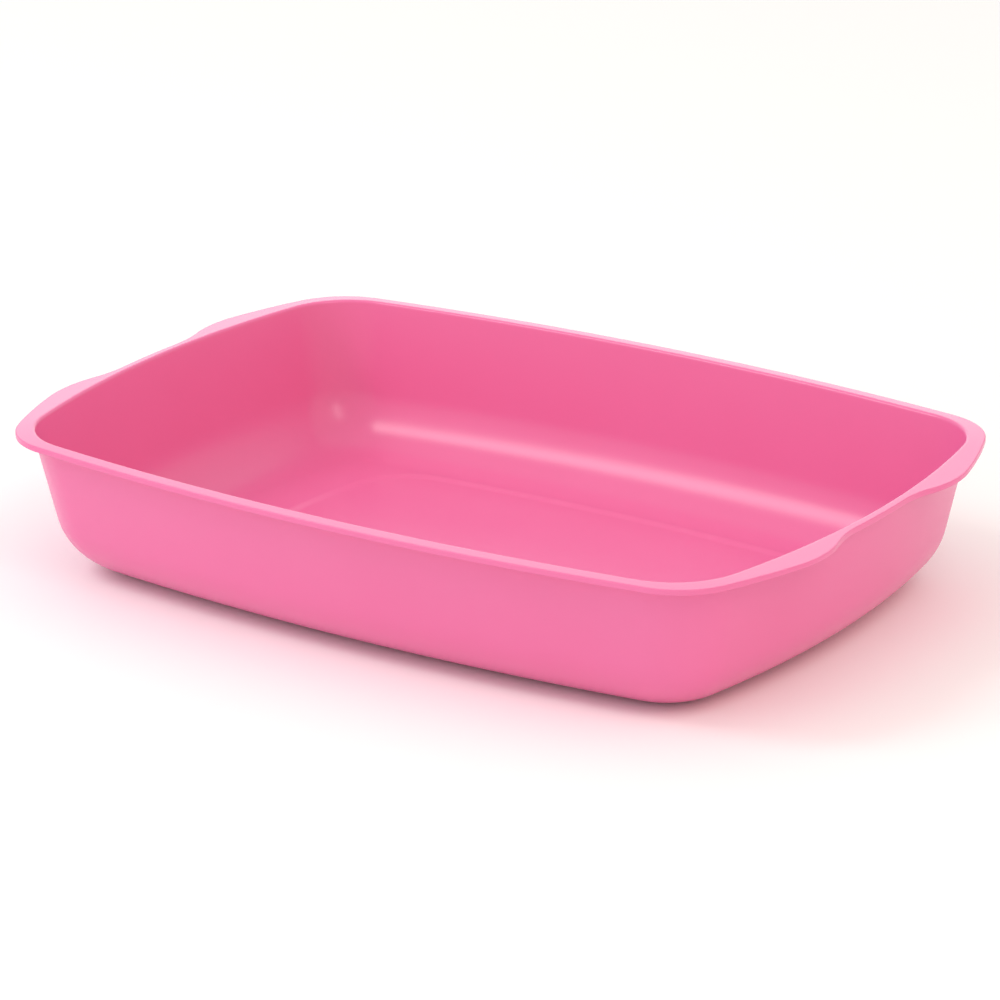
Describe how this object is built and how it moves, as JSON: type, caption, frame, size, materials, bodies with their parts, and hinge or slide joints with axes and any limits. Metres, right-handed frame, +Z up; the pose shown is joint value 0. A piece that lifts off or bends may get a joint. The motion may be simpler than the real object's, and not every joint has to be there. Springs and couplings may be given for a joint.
{
  "type": "litter tray",
  "caption": "Open one-piece moulded plastic litter tray: a long rounded rectangle with leaning walls, a deep cove into a flat floor, a lip all round, and a wider lip with a grip at each end.",
  "frame": {"origin": "middle of the foot's underside, where the tray rests on the floor", "axes": "+X along the tray towards one end, +Y across it, +Z up out of the opening"},
  "size_m": [0.5018, 0.349, 0.0859],
  "materials": {
    "pink_plastic": "smooth moulded pink polypropylene with a soft gloss"
  },
  "bodies": {
    "root": {"tray": "pink_plastic"}
  },
  "joints": []
}
